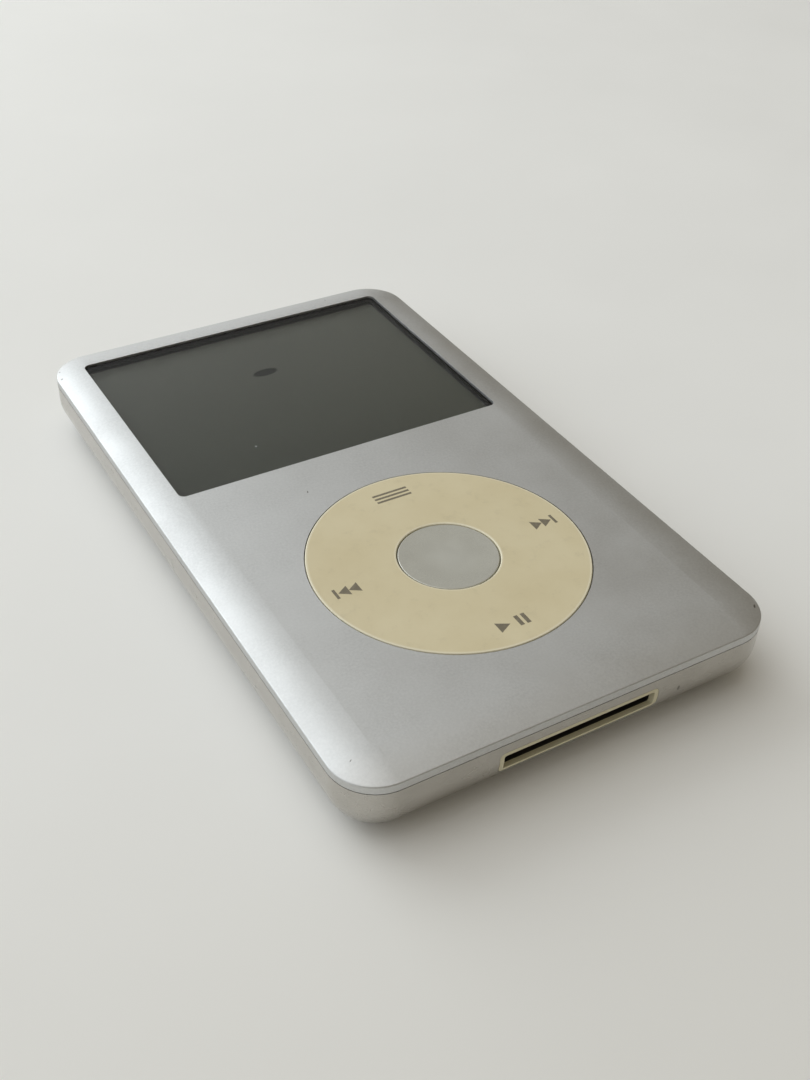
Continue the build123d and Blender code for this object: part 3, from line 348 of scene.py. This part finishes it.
def ink_look():
    """Printed grey-brown ink, worn unevenly."""
    look = Look("printed_ink", IOR=1.45)
    wear = look.span(look.noise(0.5, 4.0, 0.7), 0.45, 0.8)
    look.set("Base Color", look.mix(wear, (0.185, 0.160, 0.112), (0.27, 0.235, 0.17)))
    look.set("Roughness", look.span(look.noise(0.8, 2.0), 0.3, 0.7, 0.5, 0.6))
    look.bump(look.noise(0.1, 2.0), 0.002, 0.3)
    return look.material


TABLE_SHADE_DEEPEST_Y, TABLE_SHADE_END_Y = -0.15, -0.02   # Y in metres between which the painted shade on the table top, darker and warmer towards -Y, fades out


def table_look():
    """Pale painted table top with very faint unevenness, and painted shade that makes it darker and warmer
    towards -Y.
    """
    look = Look("pale_table", IOR=1.45)
    cloud = look.span(look.noise(60.0, 3.0, 0.5), 0.3, 0.7)
    tone = look.mix(cloud, (0.90, 0.895, 0.87), (0.925, 0.92, 0.895))
    # painted shade: the table top darkens to a warm grey towards -Y, in front of the player
    clear_of_painted_shade = look.span(look.axis(look.coords, "Y"), TABLE_SHADE_DEEPEST_Y, TABLE_SHADE_END_Y)
    look.set("Base Color", look.mix(clear_of_painted_shade, (0.79, 0.77, 0.72), tone))
    look.set("Roughness", look.span(look.noise(14.0, 3.0), 0.3, 0.7, 0.60, 0.72))
    look.bump(look.noise(1.2, 4.0, 0.6), 0.02, 0.25)
    return look.material


SLOT_LOOKS = {
    "anodised_panel": anodised_look(),
    "polished_steel": polished_steel_look(),
    "wheel_cream": cream_wheel_look(),
    "button_silver": silver_button_look(),
    "clear_pane": clear_pane_look(),
    "display_cell": display_cell_look(),
    "board_laminate": circuit_board_look(),
    "ivory_plastic": moulded_look("ivory_plastic", (0.76, 0.71, 0.52), (0.68, 0.63, 0.44), 0.34),
    "black_plastic": moulded_look("black_plastic", (0.020, 0.019, 0.018), (0.030, 0.028, 0.026), 0.45),
    "black_foam": moulded_look("black_foam", (0.016, 0.017, 0.016), (0.024, 0.025, 0.024), 0.80, 0.3),
    "white_plastic": moulded_look("white_plastic", (0.76, 0.76, 0.74), (0.70, 0.70, 0.67), 0.42),
    "amber_flex": moulded_look("amber_flex", (0.42, 0.18, 0.03), (0.30, 0.12, 0.02), 0.30, 0.5),
    "chip_resin": moulded_look("chip_resin", (0.022, 0.022, 0.024), (0.034, 0.034, 0.036), 0.60, 0.08),
    "capacitor_ceramic": moulded_look("capacitor_ceramic", (0.42, 0.30, 0.20), (0.34, 0.24, 0.15), 0.40),
    "cell_wrap": moulded_look("cell_wrap", (0.50, 0.51, 0.53), (0.42, 0.43, 0.45), 0.30, 0.8),
    "blue_rubber": moulded_look("blue_rubber", (0.03, 0.09, 0.30), (0.04, 0.12, 0.36), 0.62, 0.2),
    "spring_steel": rolled_metal_look("spring_steel", (0.56, 0.55, 0.53), (0.48, 0.47, 0.45), 0.30),
    "screw_steel": rolled_metal_look("screw_steel", (0.42, 0.42, 0.43), (0.34, 0.34, 0.35), 0.28, 30),
    "contact_gold": rolled_metal_look("contact_gold", (0.80, 0.58, 0.24), (0.70, 0.48, 0.18), 0.24, 90),
    "cast_alloy": rolled_metal_look("cast_alloy", (0.56, 0.56, 0.57), (0.48, 0.48, 0.49), 0.42, 15, 0.5),
    "drive_lid_steel": rolled_metal_look("drive_lid_steel", (0.60, 0.60, 0.60), (0.54, 0.54, 0.54), 0.32),
    "nickel_plate": rolled_metal_look("nickel_plate", (0.62, 0.59, 0.54), (0.56, 0.53, 0.48), 0.18, 45),
    "disc_mirror": rolled_metal_look("disc_mirror", (0.84, 0.84, 0.85), (0.80, 0.80, 0.81), 0.09, 0, 0.1),
    "copper_coil": rolled_metal_look("copper_coil", (0.66, 0.28, 0.14), (0.54, 0.21, 0.10), 0.30, 20, 0.1),
}


def dress_cad_nodes():
    """Gives every CAD node the finished material of its record slot."""
    for entry in frame["record"]["subparts"]:
        target = frame["nodes"][entry["node"]]
        target.data.materials.clear()
        target.data.materials.append(SLOT_LOOKS[entry["material_slot"]])


# ---------------------------------------------------------------- printed symbols on the wheel
# All sizes here are in millimetres, and places are measured from the wheel's centre.
SYMBOL_HEIGHT = 1.9
SYMBOL_RADIUS = 15.2        # to the middle of a symbol
BAR_WIDTH = 0.42
BAR_GAP = 0.35              # how far the skip bar stands off its arrow, in bar widths
ARROW_LENGTH = 1.5
PLAY_LENGTH = 1.8
PLAY_X = -1.25
PAUSE_BAR_WIDTH = 0.58
PAUSE_BARS_X = (0.95, 1.95)
MENU_WIDTH = 5.4
MENU_LINE = 0.38
INK_THICKNESS = 0.006


def bar(x, y, width, height):
    """Outline of an upright bar."""
    return [
        (x - width / 2, y - height / 2), (x + width / 2, y - height / 2),
        (x + width / 2, y + height / 2), (x - width / 2, y + height / 2),
    ]


def arrow(x, y, length, height, way):
    """Outline of a triangle whose point faces +X (way 1) or -X (way -1)."""
    tip = x + way * length / 2
    base = x - way * length / 2
    outline = [(base, y - height / 2), (tip, y), (base, y + height / 2)]
    return outline if way > 0 else outline[::-1]


def skip_symbol(way):
    """Two arrows and a bar, for the next (1) or previous (-1) side of the wheel."""
    x = way * SYMBOL_RADIUS
    step = ARROW_LENGTH
    return [
        arrow(x - way * (step + BAR_WIDTH) / 2, 0, step, SYMBOL_HEIGHT, way),
        arrow(x + way * (step - BAR_WIDTH) / 2, 0, step, SYMBOL_HEIGHT, way),
        bar(x + way * (step + BAR_WIDTH * BAR_GAP), 0, BAR_WIDTH, SYMBOL_HEIGHT),
    ]


def play_pause_symbol():
    """An arrow and two bars at the bottom of the wheel."""
    y = -SYMBOL_RADIUS
    play = arrow(PLAY_X, y, PLAY_LENGTH, SYMBOL_HEIGHT, 1)
    return [play] + [bar(x, y, PAUSE_BAR_WIDTH, SYMBOL_HEIGHT) for x in PAUSE_BARS_X]


def menu_symbol():
    """Three stacked lines at the top of the wheel: a plain list sign."""
    step = (SYMBOL_HEIGHT - MENU_LINE) / 2
    return [bar(0, SYMBOL_RADIUS + row * step, MENU_WIDTH, MENU_LINE) for row in (-1, 0, 1)]


def printed_piece(name, outlines, ink):
    """Thin raised print: each outline becomes a slab of ink set into the wheel's top."""
    made = bmesh.new()
    low = WHEEL_TOP - INK_THICKNESS * MM
    high = WHEEL_TOP + INK_THICKNESS * MM
    for outline in outlines:
        corners = [(WHEEL_CENTRE.x + x * MM, WHEEL_CENTRE.y + y * MM) for x, y in outline]
        lower = [made.verts.new((x, y, low)) for x, y in corners]
        upper = [made.verts.new((x, y, high)) for x, y in corners]
        made.faces.new(upper)
        made.faces.new(lower[::-1])
        count = len(corners)
        for index in range(count):
            after = (index + 1) % count
            made.faces.new((lower[index], lower[after], upper[after], upper[index]))
    mesh = bpy.data.meshes.new(name)
    made.to_mesh(mesh)
    made.free()
    mesh.materials.append(ink)
    piece = bpy.data.objects.new(name, mesh)
    bpy.context.scene.collection.objects.link(piece)
    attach(piece, "wheel")


def print_symbols():
    """The four marks round the wheel."""
    ink = ink_look()
    printed_piece("menu_print", menu_symbol(), ink)
    printed_piece("next_print", skip_symbol(1), ink)
    printed_piece("previous_print", skip_symbol(-1), ink)
    printed_piece("play_pause_print", play_pause_symbol(), ink)


# ---------------------------------------------------------------- camera, floor and light
CAMERA_PLACE = Vector((-75.5, -133.8, 119.5)) * MM
CAMERA_AZIMUTH = 31.37      # degrees from +Y towards +X
CAMERA_DIP = 38.21          # degrees below the horizon
CAMERA_ROLL = 1.97
CAMERA_LENS = 43.76         # millimetres
CAMERA_SENSOR = 36.0        # millimetres
CAMERA_CLIP = (0.01, 20.0)  # nearest and farthest distance in metres
FLOOR_HALF = 3.0            # half the table top's side in metres
LIGHT_TARGET = Vector((0, 0, 0.005))


def heading(azimuth, elevation):
    """Unit vector: azimuth from +Y towards +X, elevation above the horizon, in degrees."""
    turn = math.radians(azimuth)
    rise = math.radians(elevation)
    return Vector((math.sin(turn) * math.cos(rise), math.cos(turn) * math.cos(rise), math.sin(rise)))


def aimed(place, forward, roll=0.0):
    """Matrix of a camera or light at place that looks along forward."""
    level = forward.cross(Vector((0, 0, 1))).normalized()
    upward = level.cross(forward)
    tilt = math.radians(roll)
    right = level * math.cos(tilt) + upward * math.sin(tilt)
    up = right.cross(forward)
    turned = Matrix((right, up, -forward)).transposed().to_4x4()
    return Matrix.Translation(place) @ turned


def make_camera():
    """Camera at the photograph's viewing angle."""
    data = bpy.data.cameras.new("camera")
    data.lens = CAMERA_LENS
    data.sensor_width = CAMERA_SENSOR
    data.clip_start, data.clip_end = CAMERA_CLIP
    camera = bpy.data.objects.new("camera", data)
    camera.matrix_world = aimed(CAMERA_PLACE, heading(CAMERA_AZIMUTH, -CAMERA_DIP), CAMERA_ROLL)
    bpy.context.scene.collection.objects.link(camera)
    bpy.context.scene.camera = camera


def make_floor():
    """Plain pale table top."""
    made = bmesh.new()
    bmesh.ops.create_grid(made, x_segments=8, y_segments=8, size=FLOOR_HALF)
    mesh = bpy.data.meshes.new("floor")
    made.to_mesh(mesh)
    made.free()
    mesh.materials.append(table_look())
    floor = bpy.data.objects.new("floor", mesh)
    bpy.context.scene.collection.objects.link(floor)


# Each light: name, azimuth and elevation in degrees, distance, width and height in metres, watts, colour.
LIGHTS = [
    ("window", -22, 33, 0.70, 0.5, 0.45, 1.35, (0.90, 0.96, 1.0)),
    ("ceiling", -40, 80, 1.0, 0.9, 0.9, 1.75, (1.0, 0.99, 0.96)),
    ("back_wall", 0, 11, 1.4, 1.3, 0.3, 1.0, (1.0, 1.0, 0.98)),
]
ROOM_BRIGHT_SIDE = (-50, 20)    # azimuth and elevation in degrees of the brightest part of the room
ROOM_BRIGHT = (0.98, 1.02, 1.05)
ROOM_DIM = (0.225, 0.20, 0.155)


def make_room():
    """World that brightens smoothly towards the window side and is warm and dim elsewhere."""
    world = bpy.data.worlds.new("room")
    world.use_nodes = True
    tree = world.node_tree
    coords = tree.nodes.new("ShaderNodeTexCoord")
    towards = tree.nodes.new("ShaderNodeVectorMath")
    towards.operation = "DOT_PRODUCT"
    towards.inputs[1].default_value = heading(*ROOM_BRIGHT_SIDE)
    spread = tree.nodes.new("ShaderNodeMapRange")
    spread.interpolation_type = "SMOOTHSTEP"
    spread.inputs["From Min"].default_value = 0.0
    blend = tree.nodes.new("ShaderNodeMix")
    blend.data_type = "RGBA"
    blend.inputs["A"].default_value = (*ROOM_DIM, 1.0)
    blend.inputs["B"].default_value = (*ROOM_BRIGHT, 1.0)
    tree.links.new(coords.outputs["Generated"], towards.inputs[0])
    tree.links.new(towards.outputs["Value"], spread.inputs["Value"])
    tree.links.new(spread.outputs["Result"], blend.inputs["Factor"])
    tree.links.new(blend.outputs["Result"], tree.nodes["Background"].inputs["Color"])
    return world


def make_light():
    """Soft light from a window on the left, a ceiling and a pale wall behind, in a dim room."""
    for name, azimuth, elevation, distance, width, height, watts, colour in LIGHTS:
        data = bpy.data.lights.new(name, "AREA")
        data.shape = "RECTANGLE"
        data.size = width
        data.size_y = height
        data.energy = watts
        data.color = colour
        lamp = bpy.data.objects.new(name, data)
        outward = heading(azimuth, elevation)
        lamp.matrix_world = aimed(LIGHT_TARGET + outward * distance, -outward)
        bpy.context.scene.collection.objects.link(lamp)
    bpy.context.scene.world = make_room()
    bpy.context.scene.view_settings.view_transform = "Standard"


dress_cad_nodes()
print_symbols()
make_camera()
make_floor()
make_light()
